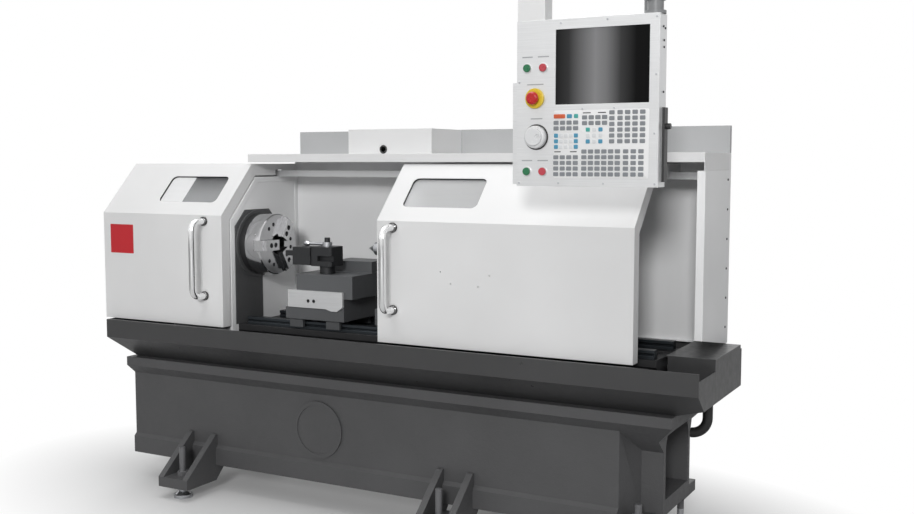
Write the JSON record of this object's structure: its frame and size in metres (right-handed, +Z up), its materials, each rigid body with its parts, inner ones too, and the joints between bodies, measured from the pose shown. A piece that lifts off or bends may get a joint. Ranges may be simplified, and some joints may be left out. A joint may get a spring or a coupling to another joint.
{
  "type": "cnc turning lathe",
  "caption": "Flat-bed turning lathe with a cast base, chip pan, sliding hood doors, jaw chuck, tool carriage, tailstock and a control pendant on a swinging boom.",
  "frame": {"origin": "bottom centre of the whole machine's box, on the floor", "axes": "+X along the spindle from the headstock to the tailstock, +Y from the operator to the rear, +Z up"},
  "size_m": [2.56, 1.0865, 2.0404],
  "materials": {
    "cast_dark": "satin paint over cast skin",
    "pan_dark": "fine textured powder coat",
    "cast_grey": "satin",
    "cover_white": "satin powder coat",
    "cover_grey": "satin powder coat",
    "steel": "ground",
    "dark_steel": "black oxide",
    "chrome": "polished",
    "alu": "brushed",
    "window": "clear",
    "display": "gloss",
    "keys": "matte",
    "black": "matte",
    "rubber": "matte",
    "green": "gloss",
    "red": "gloss",
    "grey_plastic": "satin",
    "white_plastic": "satin"
  },
  "bodies": {
    "frame": {"base_casting": "cast_dark", "levelling_feet": "chrome", "chip_pan": "pan_dark", "end_cover": "pan_dark", "z_motor": "black", "drain_elbow": "rubber", "bed_casting": "cast_grey", "way_rails": "steel", "headstock": "cast_dark", "spindle_bearings": "steel", "headstock_cover": "cover_grey", "back_panel": "cover_grey", "side_panel": "cover_white", "roof_panel": "cover_white", "door_rail": "alu", "spindle_motor": "dark_steel", "drive_belt": "rubber", "control_cabinet": "cover_grey", "drive_modules": "grey_plastic", "junction_box": "cover_grey", "boom_post": "alu"},
    "left_door_group": {"left_door": "cover_white", "left_window": "window", "left_handle": "chrome", "left_glides": "black"},
    "right_door_group": {"right_door": "cover_white", "right_window": "window", "right_handle": "chrome", "right_glides": "black"},
    "spindle_group": {"spindle": "steel", "spindle_pulley": "dark_steel", "chuck_body": "steel"},
    "jaw_1_body": {"jaw_1": "steel"},
    "jaw_2_body": {"jaw_2": "steel"},
    "jaw_3_body": {"jaw_3": "steel"},
    "motor_rotor": {"motor_pulley": "dark_steel"},
    "carriage": {"saddle": "cast_grey", "way_wiper": "steel"},
    "cross_carriage": {"cross_slide": "cast_grey", "tool_post": "steel", "tool_holder": "dark_steel"},
    "lever": {"clamp_lever": "steel"},
    "long_screw": {"z_screw": "steel"},
    "tailstock": {"tailstock_body": "cast_grey"},
    "quill_body": {"quill": "steel"},
    "centre": {"live_centre": "steel"},
    "wheel": {"handwheel": "dark_steel"},
    "boom": {"boom_arm": "alu"},
    "pendant": {"pendant_housing": "alu", "pendant_plate": "alu", "screen": "display", "key_field": "keys", "accessory_box": "white_plastic"},
    "power_on": {"power_on_button": "green"},
    "power_off": {"power_off_button": "red"},
    "cycle_start": {"cycle_start_button": "green"},
    "feed_hold": {"feed_hold_button": "red"},
    "estop": {"estop_button": "red"},
    "jog": {"jog_wheel": "grey_plastic"},
    "rear_door": {"cabinet_door": "cover_grey"}
  },
  "joints": [
    {"name": "left_door_slide", "type": "slide", "parent": "frame", "child": "left_door_group", "axis": [1, 0, 0], "range_m": [0, 0.3]},
    {"name": "right_door_slide", "type": "slide", "parent": "frame", "child": "right_door_group", "axis": [1, 0, 0], "range_m": [-0.42, 0.12]},
    {"name": "spindle_spin", "type": "hinge", "parent": "frame", "child": "spindle_group", "pos_m": [-0.59, -0.09825, 1.018], "axis": [1, 0, 0], "continuous": true},
    {"name": "jaw_1_slide", "type": "slide", "parent": "spindle_group", "child": "jaw_1_body", "axis": [0, -1, 0], "range_m": [-0.004, 0.005]},
    {"name": "jaw_2_slide", "type": "slide", "parent": "spindle_group", "child": "jaw_2_body", "axis": [0, 0.5, -0.866], "range_m": [-0.004, 0.005]},
    {"name": "jaw_3_slide", "type": "slide", "parent": "spindle_group", "child": "jaw_3_body", "axis": [0, 0.5, 0.866], "range_m": [-0.004, 0.005]},
    {"name": "motor_spin", "type": "hinge", "parent": "frame", "child": "motor_rotor", "pos_m": [-0.9, 0.10375, 0.812], "axis": [1, 0, 0], "continuous": true},
    {"name": "carriage_slide", "type": "slide", "parent": "frame", "child": "carriage", "axis": [1, 0, 0], "range_m": [-0.1, 0.04]},
    {"name": "z_screw_spin", "type": "hinge", "parent": "frame", "child": "long_screw", "pos_m": [0.15, -0.08825, 0.662], "axis": [1, 0, 0], "range_deg": [-3605, 1445]},
    {"name": "cross_slide_move", "type": "slide", "parent": "carriage", "child": "cross_carriage", "axis": [0, 1, 0], "range_m": [0, 0.12]},
    {"name": "clamp_lever_turn", "type": "hinge", "parent": "cross_carriage", "child": "lever", "pos_m": [-0.236, -0.18025, 1.0344], "axis": [0, 0, 1], "range_deg": [-60, 40]},
    {"name": "tailstock_slide", "type": "slide", "parent": "frame", "child": "tailstock", "axis": [1, 0, 0], "range_m": [0, 0.75]},
    {"name": "handwheel_turn", "type": "hinge", "parent": "tailstock", "child": "wheel", "pos_m": [0.238, -0.09825, 1.018], "axis": [1, 0, 0], "range_deg": [-2160, 1080]},
    {"name": "quill_slide", "type": "slide", "parent": "tailstock", "child": "quill_body", "axis": [-1, 0, 0], "range_m": [-0.0301, 0.0151]},
    {"name": "centre_spin", "type": "hinge", "parent": "quill_body", "child": "centre", "pos_m": [-0.05, -0.09825, 1.018], "axis": [1, 0, 0], "continuous": true},
    {"name": "boom_swing", "type": "hinge", "parent": "frame", "child": "boom", "pos_m": [0.86, 0.40175, 2], "axis": [0, 0, 1], "range_deg": [-5, 25]},
    {"name": "pendant_swing", "type": "hinge", "parent": "boom", "child": "pendant", "pos_m": [1.164, -0.47725, 2], "axis": [0, 0, 1], "range_deg": [-5, 90]},
    {"name": "cabinet_door_swing", "type": "hinge", "parent": "frame", "child": "rear_door", "pos_m": [0.787, 0.53625, 1.1], "axis": [0, 0, -1], "range_deg": [0, 110]},
    {"name": "power_on_press", "type": "slide", "parent": "pendant", "child": "power_on", "axis": [0, 1, 0], "range_m": [0, 0.004], "stiffness_N_per_m": 600},
    {"name": "power_off_press", "type": "slide", "parent": "pendant", "child": "power_off", "axis": [0, 1, 0], "range_m": [0, 0.004], "stiffness_N_per_m": 600},
    {"name": "cycle_start_press", "type": "slide", "parent": "pendant", "child": "cycle_start", "axis": [0, 1, 0], "range_m": [0, 0.004], "stiffness_N_per_m": 600},
    {"name": "feed_hold_press", "type": "slide", "parent": "pendant", "child": "feed_hold", "axis": [0, 1, 0], "range_m": [0, 0.004], "stiffness_N_per_m": 600},
    {"name": "estop_press", "type": "slide", "parent": "pendant", "child": "estop", "axis": [0, 1, 0], "range_m": [0, 0.005], "stiffness_N_per_m": 900},
    {"name": "jog_spin", "type": "hinge", "parent": "pendant", "child": "jog", "pos_m": [0.795, -0.52325, 1.429], "axis": [0, 1, 0], "continuous": true}
  ],
  "couplings": [
    {"joint": "jaw_2_slide", "follows": "jaw_1_slide", "ratio": 1},
    {"joint": "jaw_3_slide", "follows": "jaw_1_slide", "ratio": 1},
    {"joint": "motor_spin", "follows": "spindle_spin", "ratio": 1.7},
    {"joint": "z_screw_spin", "follows": "carriage_slide", "rad_per_m": 628.32},
    {"joint": "quill_slide", "follows": "handwheel_turn", "m_per_rad": 0.00079577}
  ]
}
